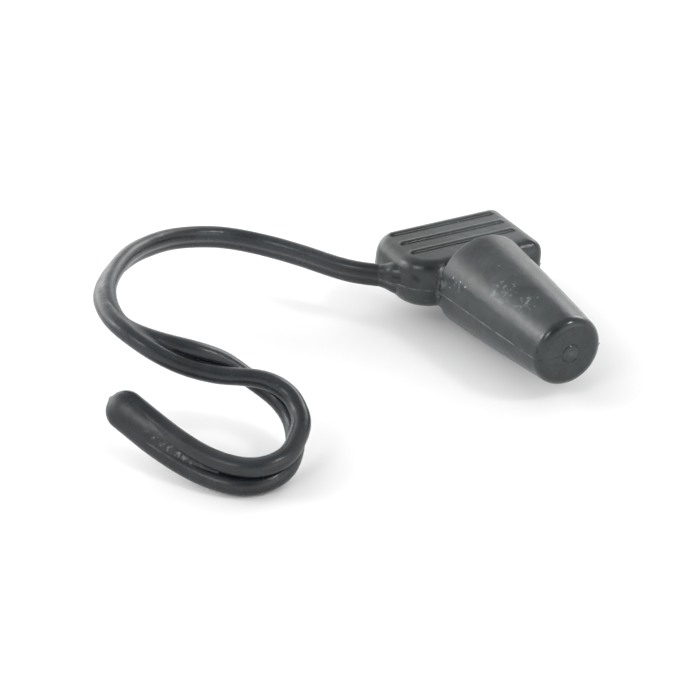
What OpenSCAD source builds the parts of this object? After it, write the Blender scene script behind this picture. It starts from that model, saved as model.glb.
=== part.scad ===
// Moulded rubber dampener head on a doubled, shape-holding wire tail.
// Frame: X along the grip ribs (tail leaves towards -X), the barrel points
// to -Y, Z up, everything rests on z = 0. Millimetres.

/* [Barrel] */
// Barrel length from rear rim to end face
barrel_length = 19.9; // [12:0.1:30]
// Diameter at the rear rim
barrel_rear_d = 12.4; // [8:0.1:20]
// Diameter just behind the end-face rounding
barrel_front_d = 8.7; // [5:0.1:16]
// Rounding radius at the end face
barrel_round = 1.1; // [0.3:0.1:3]

/* [Grip tab] */
// Length along the ribs, at the parting plane
tab_length = 19; // [12:0.1:28]
// Depth behind the barrel rim, at the parting plane
tab_depth = 12.4; // [6:0.1:18]
// Rise of the upper ribbed face above the parting plane
tab_rise = 3.4; // [2:0.1:6]
// Drop of the lower ribbed face below the parting plane
tab_drop = 2.9; // [2:0.1:6]
// Rounding of the corner beside the barrel, on the tail side
gland_corner = 5; // [1:0.1:6]
// Rounding of the rear corner on the tail side
rear_corner = 3.6; // [1:0.1:6]
// Rounding of the two corners away from the tail
far_corner = 1.7; // [0.5:0.1:5]
// How far the ribbed faces are set in from the parting outline
face_inset = 2; // [0.5:0.1:3.5]
// Spacing of the grip ribs
rib_pitch = 2.7; // [1.5:0.1:5]
// Length of the grip ribs
rib_length = 15.3; // [8:0.1:24]
// Width of one grip rib
rib_width = 0.6; // [0.3:0.1:1.5]
// Height of the grip ribs above the tab face
rib_height = 0.2; // [0.1:0.05:0.8]

/* [Tail] */
// Diameter of one rubber-covered strand where it leaves the head
strand_root_d = 1.96; // [1.7:0.02:2.1]
// Diameter of one rubber-covered strand at the far fold
strand_tip_d = 2.2; // [1.9:0.02:2.2]
// Diameter of the steel wire inside the strand
wire_d = 0.55; // [0.3:0.05:0.55]
// Clearance between the wire and its jacket
wire_gap = 0.02; // [0.01:0.01:0.1]
// Clearance kept at each flex point
flex_gap = 0.3; // [0.2:0.05:0.6]

/* [Hidden] */
$fn = 48;

black_rubber = [0.07, 0.075, 0.08];
bright_steel = [0.7, 0.7, 0.72];

place = [20.86, -0.56, 0];
axis_z = barrel_rear_d / 2;
tab_left = -9.8;
rib_centre = [-0.1, 7.5, 0];
gland_bore_gap = 0.02;

// Tail route, one row per hand-set station: x, y, z of the pair's middle, the
// roll of the first strand about the direction of travel, from straight up, and
// the distance between the two strands. The strands share one coat near the
// head, part after the split station and meet again at the far fold.
route = [
    [-7.5, 4.4, 6.2, -22, 1.3],
    [-12, 7.8, 6.3, -22, 1.3],
    [-14.5, 10.5, 6.4, -20, 1.3],
    [-17.5, 15.3, 6.7, -20, 1.3],
    [-21.2, 19.5, 7.2, -23, 1.28],
    [-25.7, 21.8, 8.2, -28, 1.25],
    [-31.3, 21.6, 9.4, -31, 1.2],
    [-35.5, 19.8, 10.2, -28, 1.1],
    [-39.7, 16.6, 11, -28, 0.95],
    [-43.5, 11.7, 11.6, -42, 0.75],
    [-45.9, 7, 11.9, -65, 0.65],
    [-46.7, 2.8, 11.9, -108, 0.65],
    [-46.5, -0.2, 11.6, -120, 0.85],
    [-45, -3.1, 11, -92, 1.4],
    [-43, -5.3, 10.2, -66, 1.85],
    [-40.6, -6.9, 9.3, -47, 2.1],
    [-38.1, -8, 8.3, -67, 2.14],
    [-35.8, -9.4, 7.3, -117, 2.16],
    [-33.5, -11.2, 6.2, -158, 2.18],
    [-32.4, -13.3, 5.2, -183, 2.18],
    [-32.3, -15.2, 4.3, -193, 2.18],
    [-32.8, -17, 3.6, -199, 2.18],
    [-34.1, -18.8, 2.9, -192, 2.2],
    [-36, -20.5, 2.4, -190, 2.2],
    [-38.9, -21, 2.2, -184, 2.2],
    [-41.6, -19.7, 2.2, -170, 2.22],
    [-44.1, -16.5, 2.5, -161, 2.22],
    [-46.4, -12.1, 3.4, -147, 2.24],
    [-48.9, -7.3, 5.3, -138, 2.24]
];
root_station = 2;
bend_station = 10;
split_station = 15;
end_station = len(route) - 1;
steps_per_span = 2;
fold_steps = 6;
past_pivot = 0.5;
// The tail begins this little way clear of the bottom of its bore in the head
tail_start = 0.02;
root_knuckle_r = 1.25;
bend_knuckle_r = 1.35;
groove_half = 0.1;
jacket_sides = 12;
wire_sides = 8;

function unit(v) = v / norm(v);
function station(i) = route[max(0, min(end_station, i))];

// Smooth curve through the route rows at station number t
function along(t) =
    let (
        i = min(end_station - 1, floor(t)),
        f = t - i,
        a = i > 0 ? station(i - 1) : 2 * station(0) - station(1),
        b = station(i),
        c = station(i + 1),
        d = i + 2 > end_station ? 2 * station(end_station) - station(end_station - 1) : station(i + 2)
    )
    b + 0.5 * f * ((c - a) + f * ((2 * a - 5 * b + 4 * c - d) + f * (3 * (b - c) + d - a)));

function middle(t) = let (p = along(t)) [p[0], p[1], p[2]];
function pitch(t) = along(t)[4];
function strand_r(t) = (strand_root_d + (strand_tip_d - strand_root_d) * t / end_station) / 2;
function heading(t) =
    let (h = 0.02, lo = max(0, t - h), hi = min(end_station, t + h))
    unit(middle(hi) - middle(lo));
function spread(t) =
    let (
        way = heading(t),
        up = unit([0, 0, 1] - way[2] * way),
        side = cross(way, up),
        roll = along(t)[3]
    )
    cos(roll) * up + sin(roll) * side;

// A ring frame is [centre, first axis, second axis, station]
function strand_frame(t, sign) =
    let (out = spread(t))
    [middle(t) + sign * out * pitch(t) / 2, sign * out, cross(heading(t), out), t];
function fold_frame(angle) =
    let (out = spread(end_station), way = heading(end_station))
    let (radial = cos(angle) * out + sin(angle) * way)
    [middle(end_station) + radial * pitch(end_station) / 2, radial, cross(way, out), end_station];

// The strand out to the fold and back again, from one station, its ends included
function strand_run(from, to, sign) =
    let (n = ceil(abs(to - from) * steps_per_span))
    [for (k = [0:n]) strand_frame(from + (to - from) * k / n, sign)];
function hairpin_run(from) = concat(
    strand_run(from, end_station, 1),
    [for (k = [1:fold_steps - 1]) fold_frame(180 * k / fold_steps)],
    strand_run(end_station, from, -1)
);

// Half the turn that one strand's coat fills, measured from its outer side: the
// rest is lost in its neighbour where the two are closer than their diameter.
function coat_reach(t, r) =
    let (across = (pitch(t) / 2 - groove_half) / r)
    min(180 - 180 / jacket_sides, across < 1 ? 180 - acos(across) : 180);

function coat_ring(frame, grow) =
    let (r = strand_r(frame[3]) + grow, reach = coat_reach(frame[3], r))
    [
        for (s = [0:jacket_sides - 1])
            let (a = reach * (2 * s / (jacket_sides - 1) - 1))
            frame[0] + r * (cos(a) * frame[1] + sin(a) * frame[2])
    ];

// Both strands' coats at one station as a single outline
function joined_ring(t, grow) =
    let (other = coat_ring(strand_frame(t, -1), grow))
    concat(coat_ring(strand_frame(t, 1), grow), [for (s = [jacket_sides - 1:-1:0]) other[s]]);

function flat(rings) = [for (ring = rings) each ring];
// Quads between two rings of equal length, given as the first index of each
function strip(low, high, sides) = [
    for (s = [0:sides - 1])
        let (q = (s + 1) % sides)
        [low + q, low + s, high + s, high + q]
];
function cap(first, sides) = [for (s = [0:sides - 1]) first + s];
function reversed(list) = [for (k = [len(list) - 1:-1:0]) list[k]];

module skin(rings, sides) {
    n = len(rings);
    polyhedron(
        flat(rings),
        concat(
            [cap(0, sides), reversed(cap((n - 1) * sides, sides))],
            [for (k = [0:n - 2]) each strip(k * sides, (k + 1) * sides, sides)]
        ),
        convexity = 8
    );
}

module joined_coat(from, to, grow = 0) {
    n = ceil((to - from) * steps_per_span);
    skin([for (k = [0:n]) joined_ring(from + (to - from) * k / n, grow)], 2 * jacket_sides);
}

// One skin: joined up to the split, then a single strand out, round the fold and
// back to the split. The last joined ring gives the strand both of its ends.
module hook_coat() {
    m = jacket_sides;
    n = (split_station - bend_station) * steps_per_span;
    joined = [for (k = [0:n]) joined_ring(bend_station + k / steps_per_span, 0)];
    run = hairpin_run(split_station);
    last = len(run) - 2;
    free = [for (k = [1:last]) coat_ring(run[k], 0)];
    fork = n * 2 * m;
    free_at = fork + 2 * m;
    out_end = [for (s = [0:m - 1]) fork + s];
    back_end = [for (s = [0:m - 1]) fork + 2 * m - 1 - s];
    far = free_at + (last - 1) * m;
    polyhedron(
        concat(flat(joined), flat(free)),
        concat(
            [cap(0, 2 * m)],
            [for (k = [0:n - 1]) each strip(k * 2 * m, (k + 1) * 2 * m, 2 * m)],
            [[back_end[0], back_end[m - 1], out_end[m - 1], out_end[0]]],
            strip(fork, free_at, m),
            [for (k = [0:last - 2]) each strip(free_at + k * m, free_at + (k + 1) * m, m)],
            [for (s = [0:m - 1]) let (q = (s + 1) % m) [far + q, far + s, back_end[s], back_end[q]]]
        ),
        convexity = 8
    );
}

module wire_tube(frames, r) {
    skin(
        [
            for (f = frames)
                [
                    for (s = [0:wire_sides - 1])
                        let (a = 360 * s / wire_sides)
                        f[0] + r * (cos(a) * f[1] + sin(a) * f[2])
                ]
        ],
        wire_sides
    );
}

// Ground-level pivot line of a flex point, turned to the direction of travel
module at_pivot(i) {
    way = heading(i);
    translate(middle(i)) rotate([0, 0, atan2(way[1], way[0])]) children();
}

// Everything a strand end gives up to stay clear of its neighbour's rounded end
module ahead_of_knuckle(i, r) {
    reach = 6;
    at_pivot(i)
        difference() {
            translate([0, -reach / 2, -reach / 2]) cube(reach);
            cylinder(h = 2 * reach, r = r, center = true);
        }
}

module knuckle_seat(i, r) {
    reach = 6;
    at_pivot(i) cylinder(h = 2 * reach, r = r + flex_gap, center = true);
}

module wire_pair(from, to, r) {
    wire_tube(strand_run(from, to, 1), r);
    wire_tube(strand_run(to, from, -1), r);
}

// Each stretch of the tail, cut back to the flex points that bound it
module root_stretch() {
    difference() {
        children();
        ahead_of_knuckle(root_station, root_knuckle_r);
    }
}

module arm_stretch() {
    difference() {
        children();
        knuckle_seat(root_station, root_knuckle_r);
        ahead_of_knuckle(bend_station, bend_knuckle_r);
    }
}

module hook_stretch() {
    difference() {
        children();
        knuckle_seat(bend_station, bend_knuckle_r);
    }
}

module root_wires(r, from) wire_pair(from, root_station + past_pivot, r);
module arm_wires(r) wire_pair(root_station, bend_station + past_pivot, r);
module hook_wires(r) wire_tube(hairpin_run(bend_station), r);

module cord_root() color(black_rubber) translate(place)
    difference() {
        root_stretch() joined_coat(tail_start, root_station + past_pivot);
        root_wires(wire_d / 2 + wire_gap, 0);
    }

module cord_arm() color(black_rubber) translate(place)
    difference() {
        arm_stretch() joined_coat(root_station, bend_station + past_pivot);
        arm_wires(wire_d / 2 + wire_gap);
    }

module cord_hook() color(black_rubber) translate(place)
    difference() {
        hook_stretch() hook_coat();
        hook_wires(wire_d / 2 + wire_gap);
    }

module wire_root() color(bright_steel) translate(place) root_stretch() root_wires(wire_d / 2, tail_start);
module wire_arm() color(bright_steel) translate(place) arm_stretch() arm_wires(wire_d / 2);
module wire_hook() color(bright_steel) translate(place) hook_stretch() hook_wires(wire_d / 2);

// Tapered barrel about its own axis, rear rim at y = 0, end face at -Y
module barrel() {
    rear = barrel_rear_d / 2;
    front = barrel_front_d / 2;
    edge = 0.15;
    round_steps = 8;
    rotate([90, 0, 0])
        rotate_extrude($fn = 96)
            polygon(concat(
                [[0, 0], [rear - edge, 0], [rear, edge]],
                [
                    for (k = [0:round_steps])
                        let (a = 90 * k / round_steps)
                        [front - barrel_round * (1 - cos(a)), barrel_length - barrel_round * (1 - sin(a))]
                ],
                [[0, barrel_length]]
            ));
}

// Plan outline of the tab, drawn in from the parting outline by the inset
module tab_plan(inset) {
    right = tab_left + tab_length;
    offset(-inset)
        hull() {
            translate([tab_left + gland_corner, gland_corner]) circle(gland_corner);
            translate([tab_left + rear_corner, tab_depth - rear_corner]) circle(rear_corner);
            translate([right - far_corner, far_corner]) circle(far_corner);
            translate([right - far_corner, tab_depth - far_corner]) circle(far_corner);
        }
}

// One slab of the pillow-shaped tab: share is its part of the half thickness
module tab_slab(share, inset_share) {
    translate([0, 0, -share * tab_drop])
        linear_extrude(share * (tab_rise + tab_drop)) tab_plan(inset_share * face_inset, $fn = 32);
}

module tab() {
    hull() {
        tab_slab(0.02, 0);
        tab_slab(0.5, 0.08);
        tab_slab(0.78, 0.34);
        tab_slab(0.94, 0.66);
        tab_slab(1, 1);
    }
}

module ribs() {
    sunk = rib_height - rib_width / 2;
    for (level = [tab_rise + sunk, -tab_drop - sunk])
        for (k = [-1:1])
            translate(rib_centre + [0, k * rib_pitch, level])
                rotate([0, 90, 0]) cylinder(h = rib_length, d = rib_width, center = true, $fn = 16);
}

module head_moulding() color(black_rubber) translate(place)
    difference() {
        translate([0, 0, axis_z]) {
            barrel();
            tab();
            ribs();
        }
        root_stretch() joined_coat(0, root_station + past_pivot, gland_bore_gap);
    }

head_moulding();
cord_root();
wire_root();
cord_arm();
wire_arm();
cord_hook();
wire_hook();
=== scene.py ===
"""Looks for the dampener: moulded rubber head, doubled wire-cored tail, pale studio floor."""
import math

import bmesh
import bpy
import numpy as np
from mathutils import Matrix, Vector


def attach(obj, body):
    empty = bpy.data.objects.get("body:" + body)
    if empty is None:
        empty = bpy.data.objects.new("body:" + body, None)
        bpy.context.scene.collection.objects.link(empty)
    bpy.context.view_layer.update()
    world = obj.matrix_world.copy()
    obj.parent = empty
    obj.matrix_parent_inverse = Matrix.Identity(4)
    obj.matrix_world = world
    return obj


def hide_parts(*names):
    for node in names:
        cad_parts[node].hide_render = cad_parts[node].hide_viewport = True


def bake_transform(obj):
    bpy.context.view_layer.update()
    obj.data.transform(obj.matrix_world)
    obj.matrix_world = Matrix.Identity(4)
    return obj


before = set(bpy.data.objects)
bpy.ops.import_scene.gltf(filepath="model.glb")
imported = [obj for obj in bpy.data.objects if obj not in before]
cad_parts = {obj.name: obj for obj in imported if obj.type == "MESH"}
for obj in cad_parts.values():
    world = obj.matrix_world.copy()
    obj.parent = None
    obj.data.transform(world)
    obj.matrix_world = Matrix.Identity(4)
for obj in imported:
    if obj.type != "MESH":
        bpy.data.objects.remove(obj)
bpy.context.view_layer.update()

MM = 0.001
AXIS_Z = 6.2  # height of the barrel axis above the floor
PLACE = np.array([20.86, -0.56, 0.0])  # the head's frame in the part's frame

# ---- sizes in mm, in the head's own frame (origin on the barrel axis at the rear rim) ----
BARREL_LENGTH, BARREL_REAR_R, BARREL_FRONT_R, BARREL_ROUND = 19.9, 6.2, 4.35, 1.25
BARREL_BELLY = 0.06  # how far the taper swells at its middle
GATE_R = 1.0  # ring mark on the end face
TAB_LEFT, TAB_LENGTH, TAB_DEPTH, TAB_RISE, TAB_DROP = -9.8, 19.0, 12.4, 3.4, 2.9
GLAND_CORNER, REAR_CORNER, FAR_CORNER, FACE_INSET = 5.0, 3.6, 1.7, 2.0
RIB_X, RIB_Y, RIB_PITCH, RIB_LENGTH = -0.05, 7.5, 2.7, 15.3
RIB_HALF_WIDTH, RIB_HEIGHT, RIB_END = 0.48, 0.28, 0.35
FLASH = 0.06  # height of the parting line's ridge
SINK = 0.06  # how deep the ribs are set in the tab's faces
STRAND_ROOT_R, STRAND_TIP_R = 0.98, 1.1
SIDES = 36  # points round one strand

# The mound between the strands at the fold: a cap cut from a flat ellipsoid that meets both strands smoothly
MOUND_HALF_WIDTH, MOUND_HEIGHT, MOUND_SPREAD = 1.42, 1.258, 2.59

# Tail route: x, y, z of the pair's middle, roll of the first strand from straight up, pitch
ROUTE = np.array([
    [-7.5, 4.4, 6.2, -22, 1.3], [-12, 7.8, 6.3, -22, 1.3], [-14.5, 10.5, 6.4, -20, 1.3],
    [-17.5, 15.3, 6.7, -20, 1.3], [-21.2, 19.5, 7.2, -23, 1.28], [-25.7, 21.8, 8.2, -28, 1.25],
    [-31.3, 21.6, 9.4, -31, 1.2], [-35.5, 19.8, 10.2, -28, 1.1], [-39.7, 16.6, 11, -28, 0.95],
    [-43.5, 11.7, 11.6, -42, 0.75], [-45.9, 7, 11.9, -65, 0.65], [-46.7, 2.8, 11.9, -108, 0.65],
    [-46.5, -0.2, 11.6, -120, 0.85], [-45, -3.1, 11, -92, 1.4], [-43, -5.3, 10.2, -66, 1.85],
    [-40.6, -6.9, 9.3, -47, 2.1], [-38.1, -8, 8.3, -67, 2.14], [-35.8, -9.4, 7.3, -117, 2.16],
    [-33.5, -11.2, 6.2, -158, 2.18], [-32.4, -13.3, 5.2, -183, 2.18], [-32.3, -15.2, 4.3, -193, 2.18],
    [-32.8, -17, 3.6, -199, 2.18], [-34.1, -18.8, 2.9, -192, 2.2], [-36, -20.5, 2.4, -190, 2.2],
    [-38.9, -21, 2.2, -184, 2.2], [-41.6, -19.7, 2.2, -170, 2.22], [-44.1, -16.5, 2.5, -161, 2.22],
    [-46.4, -12.1, 3.4, -147, 2.24], [-48.9, -7.3, 5.3, -138, 2.24]])
LAST = len(ROUTE) - 1
ROOT_STATION, BEND_STATION = 2, 10  # the two hinges
MEET = 5  # where the two tail skins meet
SPLIT = 15  # where the shared coat ends


# ---------------------------------------------------------------- meshes
def mesh_object(name, verts_mm, faces, sharp_deg):
    """A smooth-shaded object from vertices in mm, with edges over the angle kept sharp."""
    mesh = bpy.data.meshes.new(name)
    mesh.from_pydata([tuple(v) for v in np.asarray(verts_mm, float) * MM], [], faces)
    mesh.validate()
    bm = bmesh.new()
    bm.from_mesh(mesh)
    bmesh.ops.recalc_face_normals(bm, faces=bm.faces)
    bm.to_mesh(mesh)
    bm.free()
    for p in mesh.polygons:
        p.use_smooth = True
    obj = bpy.data.objects.new(name, mesh)
    bpy.context.scene.collection.objects.link(obj)
    mesh.set_sharp_from_angle(angle=math.radians(sharp_deg))
    return obj


def strip(low, high, sides):
    """Faces between two closed rings, each given by the index of its first vertex."""
    return [(low + s, low + (s + 1) % sides, high + (s + 1) % sides, high + s) for s in range(sides)]


def loft(rings):
    """Vertices and faces of a closed skin through rings of equal length."""
    n, m = len(rings), len(rings[0])
    faces = [tuple(reversed(range(m))), tuple((n - 1) * m + s for s in range(m))]
    for k in range(n - 1):
        faces += strip(k * m, (k + 1) * m, m)
    return np.concatenate(rings), faces


class Shells:
    """Several closed skins gathered in one mesh."""

    def __init__(self):
        self.verts, self.faces, self.count = [], [], 0

    def add(self, verts, faces):
        self.verts.append(np.asarray(verts, float))
        self.faces += [tuple(i + self.count for i in f) for f in faces]
        self.count += len(verts)

    def object(self, name, sharp_deg):
        return mesh_object(name, np.concatenate(self.verts) + PLACE, self.faces, sharp_deg)


def unit(v):
    return v / np.linalg.norm(v)


# ---------------------------------------------------------------- tail route
def station(i):
    return ROUTE[max(0, min(LAST, i))]


def through(t):
    """Smooth curve through the stations, all five columns at once."""
    i = min(LAST - 1, int(math.floor(t)))
    f = t - i
    b, c = station(i), station(i + 1)
    a = station(i - 1) if i > 0 else 2 * station(0) - station(1)
    d = 2 * station(LAST) - station(LAST - 1) if i + 2 > LAST else station(i + 2)
    # Catmull-Rom between b and c
    return b + 0.5 * f * ((c - a) + f * ((2 * a - 5 * b + 4 * c - d) + f * (3 * (b - c) + d - a)))


def along(t):
    """The route with the small steps between its stations eased out."""
    ease = 0.4 * min(1.0, t, LAST - t)
    return 0.5 * through(t) + 0.25 * (through(t - ease) + through(t + ease))


def heading(t):
    return unit(along(min(LAST, t + 0.02))[:3] - along(max(0, t - 0.02))[:3])


def spread(t):
    """Direction from the pair's middle to the first strand."""
    way = heading(t)
    up = unit(np.array([0, 0, 1.0]) - way[2] * way)
    roll = math.radians(along(t)[3])
    return math.cos(roll) * up + math.sin(roll) * np.cross(way, up)


def strand_frame(t, sign):
    """Centre, outward direction, sideways direction and station of one strand."""
    out = spread(t)
    return along(t)[:3] + sign * out * along(t)[4] / 2, sign * out, np.cross(heading(t), out), t


def fold_frame(angle):
    """The same for the half turn at the free end."""
    out, way = spread(LAST), heading(LAST)
    radial = math.cos(angle) * out + math.sin(angle) * way
    return along(LAST)[:3] + radial * along(LAST)[4] / 2, radial, np.cross(way, out), LAST


def strand_run(a, b, sign, per_span=7):
    """Frames along one strand from station a to station b."""
    n = math.ceil(abs(b - a) * per_span)
    return [strand_frame(a + (b - a) * k / n, sign) for k in range(n + 1)]


def lobe(fr, grow=0.0):
    """The part of one strand's round skin that its neighbour leaves showing."""
    c, out, side, t = fr
    wander = 1 + 0.006 * math.sin(0.9 * c[0] + 0.7 * c[1]) + 0.005 * math.sin(1.7 * c[1] - 1.3 * c[2])
    r = (STRAND_ROOT_R + (STRAND_TIP_R - STRAND_ROOT_R) * t / LAST) * wander + grow
    seam = 0.05 + 0.08 * min(1.0, max(0.0, 11 - t)) + 0.4 * math.exp(-(((t - 12.8) / 0.6) ** 2))
    across = (along(t)[4] / 2 - seam) / r
    reach = min(math.pi * (1 - 1 / SIDES), math.pi - math.acos(across) if across < 1 else math.pi)
    turn = reach * np.linspace(-1, 1, SIDES)
    return c + r * (np.cos(turn)[:, None] * out + np.sin(turn)[:, None] * side)


def pair_ring(t, grow=0.0):
    """One ring round both strands, with the groove between them."""
    return np.concatenate([lobe(strand_frame(t, 1), grow), lobe(strand_frame(t, -1), grow)[::-1]])


def pair_rings(a, b, per_span=7):
    n = math.ceil((b - a) * per_span)
    return [pair_ring(a + (b - a) * k / n) for k in range(n + 1)]


def hook_skin():
    """Both strands in one coat up to the split, then one strand out, round the fold and back."""
    m = SIDES
    joined = pair_rings(MEET, SPLIT)
    fold = [fold_frame(math.pi * k / 14) for k in range(1, 14)]
    run = strand_run(SPLIT, LAST, 1) + fold + strand_run(LAST, SPLIT, -1)
    free = [lobe(fr) for fr in run[1:-1]]
    fork = (len(joined) - 1) * 2 * m
    first = fork + 2 * m
    far = first + (len(free) - 1) * m
    faces = [tuple(reversed(range(2 * m)))]
    for k in range(len(joined) - 1):
        faces += strip(k * 2 * m, (k + 1) * 2 * m, 2 * m)
    faces.append((fork + 2 * m - 1, fork, fork + m - 1, fork + m))
    faces += strip(fork, first, m)
    for k in range(len(free) - 1):
        faces += strip(first + k * m, first + (k + 1) * m, m)
    back = [fork + 2 * m - 1 - s for s in range(m)]
    faces += [(far + s, far + (s + 1) % m, back[(s + 1) % m], back[s]) for s in range(m)]
    return np.concatenate(joined + free), faces


def mound_ring(t, ahead, across, rise):
    """Ring about the pair's middle, or ahead of it: an upper arc and its mirror image below."""
    out, side = spread(t), np.cross(heading(t), spread(t))
    centre = along(t)[:3] + ahead * heading(t)
    top = centre + across[:, None] * out + rise[:, None] * side
    under = centre + across[::-1, None] * out - rise[::-1, None] * side
    return np.concatenate((top, under))


def tip_mound():
    """The low mound of rubber that joins the strands at the fold, and the scrap of flash at its end."""
    turn = np.linspace(math.pi, 0, 17)
    growing = ((25.4, 0.3), (25.8, 0.42), (26.2, 0.56), (26.6, 0.72), (27, 0.87), (27.3, 0.96), (27.6, 1))
    over_fold = (0, 0.4, 0.8, 1.1, 1.3, 1.38)
    rings = []
    for t, ahead, size in [(t, 0, size) for t, size in growing] + [(LAST, ahead, 1) for ahead in over_fold]:
        across = size * math.sqrt(MOUND_HALF_WIDTH ** 2 - ahead ** 2) * np.cos(turn)
        rise = size * MOUND_HEIGHT * np.sqrt(1 - (across ** 2 + ahead ** 2) / MOUND_SPREAD ** 2)
        rings.append(mound_ring(t, ahead, across, rise))
    for ahead, wide, high in ((1.8, 0.6, 0.5), (2.2, 0.45, 0.35), (2.4, 0.15, 0.12)):
        rings.append(mound_ring(LAST, ahead, wide * np.cos(turn), high * (0.1 + np.sin(turn))))
    return loft(rings)


# ---------------------------------------------------------------- head
def barrel_shell():
    """Lathe about the barrel axis, with the moulding's parting ridge at each side."""
    fine = np.radians([-1.0, -0.5, 0, 0.5, 1.0])
    even = np.linspace(0, 2 * math.pi, 168, endpoint=False)
    turn = np.unique(np.round(np.concatenate([even, fine % (2 * math.pi), math.pi + fine]), 6))
    ridge = np.isclose(turn, 0, atol=1e-3) | np.isclose(turn, math.pi, atol=1e-3)
    profile = [(0.02, 0.0), (3.0, 0.0), (5.2, 0.0), (6.05, 0.0), (6.14, -0.02), (6.19, -0.07), (6.2, -0.16)]
    side_from, side_to = -0.16, -(BARREL_LENGTH - BARREL_ROUND)
    for k in range(1, 25):
        f = k / 24
        r = BARREL_REAR_R + (BARREL_FRONT_R - BARREL_REAR_R) * f + BARREL_BELLY * math.sin(math.pi * f)
        profile.append((r, side_from + (side_to - side_from) * f))
    for k in range(1, 13):
        a = math.pi / 2 * k / 12
        profile.append((BARREL_FRONT_R - BARREL_ROUND * (1 - math.cos(a)), side_to - BARREL_ROUND * math.sin(a)))
    face = -BARREL_LENGTH
    profile += [(2.9, face + 0.02), (2.2, face + 0.05), (1.5, face + 0.06), (GATE_R + 0.22, face + 0.05),
                (GATE_R + 0.14, face + 0.12), (GATE_R + 0.06, face + 0.12), (GATE_R - 0.02, face + 0.03),
                (0.6, face + 0.03), (0.32, face + 0.05), (0.22, face), (0.12, face), (0.02, face)]
    rings = []
    for r, y in profile:
        on_side = -BARREL_LENGTH + 0.1 < y < -0.25 and r > 3.5
        rr = r + np.where(ridge, FLASH if on_side else 0, 0)
        rings.append(np.stack([rr * np.cos(turn), np.full_like(turn, y), rr * np.sin(turn)], -1))
    return loft(rings)


def tab_outline(inset):
    """Plan outline of the tab, drawn in from the parting outline by the inset."""
    right = TAB_LEFT + TAB_LENGTH
    corners = [(right - FAR_CORNER, FAR_CORNER, FAR_CORNER, -90),
               (right - FAR_CORNER, TAB_DEPTH - FAR_CORNER, FAR_CORNER, 0),
               (TAB_LEFT + REAR_CORNER, TAB_DEPTH - REAR_CORNER, REAR_CORNER, 90),
               (TAB_LEFT + GLAND_CORNER, GLAND_CORNER, GLAND_CORNER, 180)]
    points = []
    for cx, cy, r, start in corners:
        rr = max(r - inset, 0.45)
        short = rr - (r - inset)
        sx = -1 if cx > 0 else 1
        sy = 1 if start in (-90, 180) else -1
        for a in np.radians(np.linspace(start, start + 90, 32)):
            points.append((cx + sx * short + rr * math.cos(a), cy + sy * short + rr * math.sin(a)))
    return np.array(points)


def tab_shell():
    """Pillow-edged tab, with the parting ridge round its middle and its right and rear edges a little fuller."""
    levels = [(math.sin(a) ** 0.9, 1 - math.cos(a) ** 0.8) for a in np.linspace(0, math.pi / 2, 13)[1:]]
    profile = [(-TAB_DROP * z, FACE_INSET * i) for z, i in reversed(levels)]
    profile += [(-0.06, 0.0), (0.0, -FLASH), (0.06, 0.0)]
    profile += [(TAB_RISE * z, FACE_INSET * i) for z, i in levels]
    rings = []
    for z, inset in profile:
        plan = tab_outline(inset)
        fuller = 0.3 * math.sin(math.pi * min(1, abs(z) / (TAB_RISE if z > 0 else TAB_DROP)) ** 1.6)
        on_right = np.clip((plan[:, 0] - 3) / 3, 0, 1)
        at_back = np.clip((plan[:, 1] - 9) / 2, 0, 1)
        plan[:, 0] += fuller * on_right
        plan[:, 1] += fuller * at_back * np.clip((plan[:, 0] + 2) / 5, 0, 1)
        rings.append(np.column_stack([plan, np.full(len(plan), z)]))
    return loft(rings)


def neck_shell():
    """The solid root that carries the tab's full section into the barrel's rear face."""
    half_width, below_face, squareness = 5.6, 0.12, 0.45
    turn = np.linspace(0, 2 * math.pi, 64, endpoint=False)
    wide, high = np.cos(turn), np.sin(turn)
    x = half_width * np.sign(wide) * np.abs(wide) ** squareness
    reach = np.where(high > 0, TAB_RISE, TAB_DROP) - below_face
    z = reach * np.sign(high) * np.abs(high) ** squareness
    return loft([np.column_stack([x, np.full(len(x), y), z]) for y in (-0.6, 0.4, 1.4, 2.6)])


def tab_front(x, z):
    """How far behind the rear rim the tab's front surface lies."""
    share = min(1.0, abs(z) / (TAB_RISE if z > 0 else TAB_DROP))
    inset = FACE_INSET * (1 - math.cos(math.asin(share ** (1 / 0.9))) ** 0.8)
    if x < 0:
        centre, r = TAB_LEFT + GLAND_CORNER, GLAND_CORNER
    else:
        centre, r = TAB_LEFT + TAB_LENGTH - FAR_CORNER, FAR_CORNER
    off = max(0.0, (x - centre) * (-1 if x < 0 else 1))
    rr = max(r - inset, 0.45)
    return inset + rr - math.sqrt(max(0.0, rr * rr - off * off))


def corner_fillet(side, radius, low, high):
    """Moulded fillet where the barrel's side runs into the tab's front."""
    rings = []
    for f in np.linspace(0, 1, 25):
        z = low + (high - low) * f
        r = radius * math.sin(math.pi * f) ** 0.6 + 0.02
        edge = side * math.sqrt(BARREL_REAR_R ** 2 - z * z)
        centre = edge + side * r
        front = tab_front(centre, z)
        near = min(front - r, -0.1)
        ring = []
        for a in np.linspace(0, math.pi / 2, 10):
            ring.append((centre - side * r * math.cos(a), near + (front - near) * math.sin(a), z))
        ring += [(centre, front + 0.6, z), (edge - side * 0.6, front + 0.6, z), (edge - side * 0.6, near, z)]
        rings.append(np.array(ring))
    return loft(rings)


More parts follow.
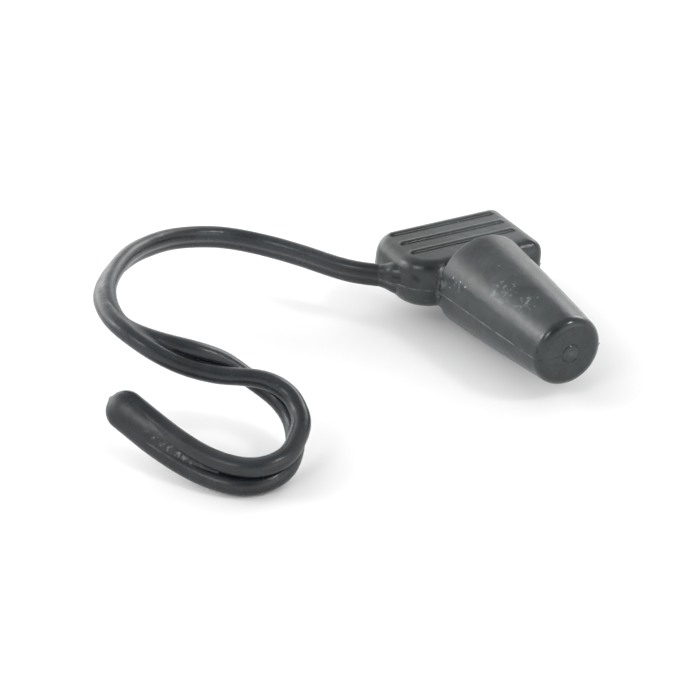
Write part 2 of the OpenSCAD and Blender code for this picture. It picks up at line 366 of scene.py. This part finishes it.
def rib_shell(y, level, up):
    """One low rounded bar whose ends round off just past the tab face."""
    turn = np.linspace(0, math.pi, 13)
    rings = []
    for k in range(41):
        f = k / 40
        x = RIB_X - RIB_LENGTH / 2 + RIB_LENGTH * f
        end = min(1.0, min(f, 1 - f) * RIB_LENGTH / RIB_END)
        h = RIB_HEIGHT * math.sqrt(max(0.0, 1 - (1 - end) ** 2)) + 0.02
        wide = RIB_HALF_WIDTH * (0.6 + 0.4 * end)
        crest = level + up * h * np.sin(turn) ** 0.85
        arch = np.stack([np.full(len(turn), x), y + wide * np.cos(turn), crest], -1)
        foot = np.array([[x, y + sign * RIB_HALF_WIDTH * 0.6, level - up * 0.3] for sign in (-1, 1)])
        rings.append(np.concatenate([arch, foot]))
    return loft(rings)


def gland_flare():
    """The concave flare where the tail leaves the tab."""
    rings = []
    for t, grow in ((0.1, 0.8), (0.3, 0.72), (0.38, 0.6), (0.44, 0.46), (0.49, 0.32), (0.54, 0.2),
                    (0.6, 0.1), (0.67, 0.03), (0.72, -0.06)):
        rings.append(pair_ring(t, grow) - np.array([0, 0, AXIS_Z]))
    return loft(rings)


def end_flash():
    """The parting line's fine ridge across the barrel's end face."""
    face = -BARREL_LENGTH
    rings = []
    for x, h in ((-3.4, 0.0), (-3.1, 0.02), (-2.3, 0.03), (-1.5, 0.025), (-1.25, 0.0)):
        rings.append(np.array([[x, face + 0.1, -0.05], [x, face + 0.1, 0.05], [x, face + 0.03 - h, 0.0]]))
    return loft(rings)


def nub(at, way, size):
    """A pointed scrap of flash on the parting line."""
    at, way = np.array(at, float), unit(np.array(way, float))
    side = unit(np.cross(way, [0, 0, 1]))
    lift = np.array([0, 0, 0.09])
    rings = []
    for f, w in ((-0.6, 1.0), (0.2, 0.8), (0.7, 0.4), (1.0, 0.08)):
        c = at + way * size * f
        rings.append(np.array([c + side * size * 1.3 * w, c + lift * w, c - side * size * 1.3 * w, c - lift * w]))
    return loft(rings)


def head_shells():
    """Every skin of the head moulding, raised to the barrel axis's height."""
    s = Shells()
    s.add(*barrel_shell())
    s.add(*tab_shell())
    s.add(*neck_shell())
    for k in (-1, 0, 1):
        s.add(*rib_shell(RIB_Y + k * RIB_PITCH, TAB_RISE - SINK, 1))
        s.add(*rib_shell(RIB_Y + k * RIB_PITCH, -TAB_DROP + SINK, -1))
    s.add(*corner_fillet(-1, 0.9, -2.4, 2.9))
    s.add(*corner_fillet(1, 0.5, -2.0, 2.2))
    s.add(*gland_flare())
    s.add(*end_flash())
    s.add(*nub((4.1, -BARREL_LENGTH + 0.75, 0), (1, -0.35, 0), 0.3))
    s.add(*nub((8.75, 0.75, 0), (0.8, -0.6, 0), 0.3))
    s.add(*nub((-9.2, 10.3, 0), (-0.8, 0.55, 0), 0.25))
    s.verts = [v + np.array([0, 0, AXIS_Z]) for v in s.verts]
    return s


# ---------------------------------------------------------------- materials
DUST_COLOUR = (0.34, 0.37, 0.37, 1.0)
WEAR_COLOUR = (0.3, 0.33, 0.33, 1.0)
SPOT_COLOUR = (0.42, 0.44, 0.43, 1.0)
STEEL_COLOUR = (0.62, 0.62, 0.64, 1.0)


class Nodes:
    """Small helper for building a material's node tree."""

    def __init__(self, name):
        self.material = bpy.data.materials.new(name)
        self.material.use_nodes = True
        self.tree = self.material.node_tree
        self.bsdf = self.tree.nodes["Principled BSDF"]
        self.where = self.new("ShaderNodeTexCoord").outputs["Object"]

    def new(self, kind):
        return self.tree.nodes.new(kind)

    def plug(self, value, socket):
        if isinstance(value, (int, float, tuple)):
            socket.default_value = value
        else:
            self.tree.links.new(value, socket)

    def math(self, kind, a, b=0.0):
        n = self.new("ShaderNodeMath")
        n.operation = kind
        self.plug(a, n.inputs[0])
        self.plug(b, n.inputs[1])
        return n.outputs[0]

    def scaled(self, value, factor, offset):
        """value * factor + offset"""
        n = self.new("ShaderNodeMath")
        n.operation = "MULTIPLY_ADD"
        self.plug(value, n.inputs[0])
        self.plug(factor, n.inputs[1])
        self.plug(offset, n.inputs[2])
        return n.outputs[0]

    def axis(self, name):
        """One coordinate of the point being shaded, in the part's frame."""
        n = self.new("ShaderNodeSeparateXYZ")
        self.plug(self.where, n.inputs[0])
        return n.outputs[name]

    def bump(self, height, strength, distance, normal=None):
        n = self.new("ShaderNodeBump")
        n.inputs["Strength"].default_value = strength
        n.inputs["Distance"].default_value = distance
        self.plug(height, n.inputs["Height"])
        if normal:
            self.plug(normal, n.inputs["Normal"])
        return n.outputs["Normal"]

    def noise(self, scale, detail=4, roughness=0.6):
        n = self.new("ShaderNodeTexNoise")
        n.inputs["Scale"].default_value = scale
        n.inputs["Detail"].default_value = detail
        n.inputs["Roughness"].default_value = roughness
        self.plug(self.where, n.inputs["Vector"])
        return n.outputs["Fac"]

    def fade(self, value, zero_at, one_at):
        """Smooth 0..1 as the value goes from one limit to the other."""
        n = self.new("ShaderNodeMapRange")
        n.interpolation_type = "SMOOTHSTEP"
        self.plug(value, n.inputs["Value"])
        n.inputs["From Min"].default_value = zero_at
        n.inputs["From Max"].default_value = one_at
        return n.outputs["Result"]

    def blend(self, share, a, b):
        """Colour a where the share is 0, colour b where it is 1."""
        n = self.new("ShaderNodeMix")
        n.data_type = "RGBA"
        self.plug(share, n.inputs["Factor"])
        self.plug(a, n.inputs[6])
        self.plug(b, n.inputs[7])
        return n.outputs[2]

    def spot(self, at_mm, radius_mm):
        """1 inside a small ball about a point of the part, with a ragged edge."""
        raggedness = 0.0008
        ragged = self.new("ShaderNodeVectorMath")
        ragged.operation = "MULTIPLY_ADD"
        n = self.new("ShaderNodeTexNoise")
        n.inputs["Scale"].default_value = 1400
        self.plug(self.where, n.inputs["Vector"])
        self.plug(n.outputs["Color"], ragged.inputs[0])
        ragged.inputs[1].default_value = (raggedness, raggedness, raggedness)
        self.plug(self.where, ragged.inputs[2])
        far = self.new("ShaderNodeVectorMath")
        far.operation = "DISTANCE"
        self.plug(ragged.outputs[0], far.inputs[0])
        far.inputs[1].default_value = tuple((np.array(at_mm) + PLACE) * MM + raggedness / 2)
        return self.fade(far.outputs["Value"], radius_mm * MM, radius_mm * 0.5 * MM)

    def union(self, masks):
        """The largest of several masks."""
        total = masks[0]
        for m in masks[1:]:
            total = self.math("MAXIMUM", total, m)
        return total


def rubber(name, shade, rough, gloss, dust, pale_spots, scuffs, line_height=None, rubbed_end=0.0):
    """Satin moulded rubber: faint mottling, fine grain, thin pale dust, worn spots and scuffs."""
    n = Nodes(name)
    end_face = (PLACE[1] - BARREL_LENGTH) * MM
    dark, light = (*(c * 0.55 for c in shade), 1.0), (*(c * 1.5 for c in shade), 1.0)
    cloud = n.math("ADD", n.math("MULTIPLY", n.noise(260), 0.45), n.math("MULTIPLY", n.noise(90, 3), 0.55))
    base = n.blend(n.fade(cloud, 0.36, 0.64), dark, light)

    speck = n.math("MULTIPLY", n.fade(n.noise(1500, 3, 0.7), 0.66, 0.74), n.fade(n.noise(170, 3), 0.48, 0.72))
    base = n.blend(n.math("MULTIPLY", speck, dust), base, DUST_COLOUR)
    for marks, scale, low, high, strength in scuffs:
        worn = n.union([n.spot(at, r) for at, r in marks])
        worn = n.math("MULTIPLY", worn, n.fade(n.noise(scale, 5, 0.72), low, high))
        base = n.blend(n.math("MULTIPLY", worn, strength), base, WEAR_COLOUR)

    if line_height:
        off = n.math("ABSOLUTE", n.math("SUBTRACT", n.axis("Z"), line_height * MM))
        line = n.math("MULTIPLY", n.fade(off, 0.00013, 0.00003), n.fade(n.noise(600, 3, 0.6), 0.36, 0.7))
        line = n.math("MULTIPLY", line, n.fade(n.axis("Y"), end_face + 0.0003, end_face + 0.0015))
        base = n.blend(n.math("MULTIPLY", line, 0.4), base, WEAR_COLOUR)
    spots = n.union([n.spot(at, r) for at, r in pale_spots])
    base = n.blend(n.math("MULTIPLY", spots, 0.5), base, SPOT_COLOUR)
    n.plug(base, n.bsdf.inputs["Base Color"])

    wander = n.scaled(n.noise(420), 0.16, rough - 0.08)
    if rubbed_end:
        rubbed = n.fade(n.axis("Y"), end_face + 0.0024, end_face + 0.0012)
        wander = n.math("SUBTRACT", wander, n.math("MULTIPLY", rubbed, rubbed_end))
    n.plug(wander, n.bsdf.inputs["Roughness"])
    grain = n.bump(n.noise(2600, 3), 0.12, 0.00008)
    n.plug(n.bump(n.noise(330, 2), 0.25, 0.0004, grain), n.bsdf.inputs["Normal"])
    n.bsdf.inputs["Specular IOR Level"].default_value = gloss
    return n.material


def drawn_steel():
    """Bright drawn wire with fine streaks."""
    n = Nodes("drawn_steel")
    streak = n.noise(1800)
    n.plug(n.scaled(streak, 0.2, 0.22), n.bsdf.inputs["Roughness"])
    n.plug(n.bump(streak, 1.0, 0.00003), n.bsdf.inputs["Normal"])
    n.bsdf.inputs["Base Color"].default_value = STEEL_COLOUR
    n.bsdf.inputs["Metallic"].default_value = 1
    return n.material


# Worn places as (point, radius): x and y in the head's own frame, z above the floor
HEAD_SPOTS = (((-5.3, -2.2, 9.0), 0.2), ((-5.15, -3.6, 8.95), 0.18), ((-5.15, -4.8, 8.7), 0.16),
              ((-5.75, -2.3, 7.8), 0.14), ((-5.4, -2.9, 8.6), 0.14), ((-2.05, -14.9, 10.45), 0.18),
              ((-8.1, 9.5, 6.9), 0.2), ((-3.9, -12.2, 9.35), 0.16))
CORNER_WEAR = (((-6.4, -0.4, 8.4), 0.8), ((-6.6, -0.3, 7.2), 0.8), ((-6.5, -0.4, 5.8), 0.8),
               ((-6.3, -0.3, 9.3), 0.6), ((-6.0, -0.9, 7.6), 0.7))
SIDE_DUST = (((-5.4, -3.2, 8.4), 1.2), ((-3.2, -10, 10.4), 2.2), ((-2.6, -13.5, 10.2), 1.6))
GATE_BLOOM = (((0.1, -19.9, 6.1), 1.3),)
TAIL_SPOTS = (((-13.5, 8.6, 7.6), 0.22),)
TORN_EDGE = [(along(t)[:3] + 0.95 * np.cross(heading(t), spread(t)), 0.45)
             for t in (27.3, 27.1, 26.9, 26.7, 26.5, 26.3, 26.1, 25.9, 25.6)]

# ---------------------------------------------------------------- build
# Scuffs are (marks, noise scale, noise level where they start, where they are full, strength)
head_rubber = rubber(
    "head_rubber", shade=(0.018, 0.0235, 0.025), rough=0.25, gloss=0.5, dust=0.5, pale_spots=HEAD_SPOTS,
    scuffs=((CORNER_WEAR, 1000, 0.4, 0.62, 0.4), (SIDE_DUST, 1500, 0.5, 0.66, 0.35),
            (GATE_BLOOM, 1100, 0.42, 0.7, 0.08)),
    line_height=AXIS_Z, rubbed_end=0.1)
cord_rubber = rubber(
    "cord_rubber", shade=(0.014, 0.017, 0.02), rough=0.28, gloss=0.45, dust=0.35, pale_spots=TAIL_SPOTS,
    scuffs=((TORN_EDGE, 1500, 0.44, 0.64, 0.5),))
steel = drawn_steel()

head = head_shells().object("head_skin", 40)
head.data.materials.append(head_rubber)
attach(head, "head")
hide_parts("head_moulding")

root_shells, hook_shells = Shells(), Shells()
root_shells.add(*loft(pair_rings(0, MEET)))
hook_shells.add(*hook_skin())
hook_shells.add(*tip_mound())
for shells, name, bodies, at, nodes in (
    (root_shells, "tail_skin_root", ("head", "arm"), ROOT_STATION, ("cord_root", "cord_arm")),
    (hook_shells, "tail_skin_hook", ("arm", "hook"), BEND_STATION, ("cord_hook",)),
):
    piece = shells.object(name, 60)
    piece.data.materials.append(cord_rubber)
    pivot, way = along(at)[:3] + PLACE, heading(at)
    way = unit(np.array([way[0], way[1], 0]))
    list(bodies)
    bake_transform(piece)
    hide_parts(*nodes)

for name in ("wire_root", "wire_arm", "wire_hook"):
    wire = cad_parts[name]
    wire.data.materials.clear()
    wire.data.materials.append(steel)

# ---------------------------------------------------------------- stage
bpy.ops.mesh.primitive_plane_add(size=3, location=(0, 0, -0.00005))
floor = bpy.context.object
floor.name = "floor"
pale = Nodes("pale_floor")
pale.bsdf.inputs["Base Color"].default_value = (0.89, 0.89, 0.89, 1)
pale.bsdf.inputs["Roughness"].default_value = 0.8
pale.bsdf.inputs["Specular IOR Level"].default_value = 0.1
floor.data.materials.append(pale.material)


def toward(azimuth_deg, elevation_deg):
    """Unit vector from an azimuth, 0 along +Y and 90 along +X, and an elevation."""
    a, e = math.radians(azimuth_deg), math.radians(elevation_deg)
    return (math.sin(a) * math.cos(e), math.cos(a) * math.cos(e), math.sin(e))


def studio(glows, low_level, overhead_level):
    """White surround, bright low down and dimmer overhead, with soft glows added to it."""
    world = bpy.data.worlds.new("studio")
    bpy.context.scene.world = world
    world.use_nodes = True
    new, link = world.node_tree.nodes.new, world.node_tree.links.new
    way = new("ShaderNodeTexCoord").outputs["Generated"]
    split = new("ShaderNodeSeparateXYZ")
    link(way, split.inputs[0])
    rise = new("ShaderNodeMapRange")
    rise.interpolation_type = "SMOOTHSTEP"
    link(split.outputs["Z"], rise.inputs["Value"])
    rise.inputs["From Max"].default_value = 0.8
    rise.inputs["To Min"].default_value = low_level
    rise.inputs["To Max"].default_value = overhead_level
    total = rise.outputs["Result"]
    for azimuth, elevation, tight, strength in glows:
        dot = new("ShaderNodeVectorMath")
        dot.operation = "DOT_PRODUCT"
        link(way, dot.inputs[0])
        dot.inputs[1].default_value = toward(azimuth, elevation)
        front = new("ShaderNodeMath")
        front.operation = "MAXIMUM"
        link(dot.outputs["Value"], front.inputs[0])
        front.inputs[1].default_value = 0
        power = new("ShaderNodeMath")
        power.operation = "POWER"
        link(front.outputs[0], power.inputs[0])
        power.inputs[1].default_value = tight
        add = new("ShaderNodeMath")
        add.operation = "MULTIPLY_ADD"
        link(power.outputs[0], add.inputs[0])
        add.inputs[1].default_value = strength
        link(total, add.inputs[2])
        total = add.outputs[0]
    sky = world.node_tree.nodes["Background"]
    sky.inputs["Color"].default_value = (1, 1, 1, 1)
    link(total, sky.inputs["Strength"])


# Azimuth, elevation, tightness and strength of each glow
studio((
    (302, 28, 36, 3.8),  # broad light at the left
    (300, 29, 260, 9),  # its brighter core
    (338, 12, 4, 2.2),  # wide low light at the back left
    (62, 27, 38, 6),  # broad light at the back right
    (150, 18, 14, 1.1),  # low fill at the front right
    (138, 48, 300, 26),  # small high lamp at the right
    (250, 42, 110, 7),  # small high lamp at the front left
    (206, 43, 26, -0.5),  # the dark behind the lens
), low_level=1.3, overhead_level=0.55)
bpy.context.scene.view_settings.view_transform = "Standard"

# ---------------------------------------------------------------- camera
AZIMUTH, ELEVATION, RANGE_MM = math.radians(-26.41), math.radians(30.37), 200.0
AIM = np.array([-15.39, 5.55, -8.8 + AXIS_Z]) + PLACE
level = math.cos(ELEVATION)
back = np.array([math.sin(AZIMUTH) * level, -math.cos(AZIMUTH) * level, math.sin(ELEVATION)])
lens = bpy.data.cameras.new("camera")
lens.lens, lens.sensor_width = 82.3, 36
lens.clip_start, lens.clip_end = 0.01, 10
camera = bpy.data.objects.new("camera", lens)
bpy.context.scene.collection.objects.link(camera)
camera.location = Vector((AIM + back * RANGE_MM) * MM)
camera.rotation_euler = Vector(-back).to_track_quat("-Z", "Y").to_euler()
bpy.context.scene.camera = camera
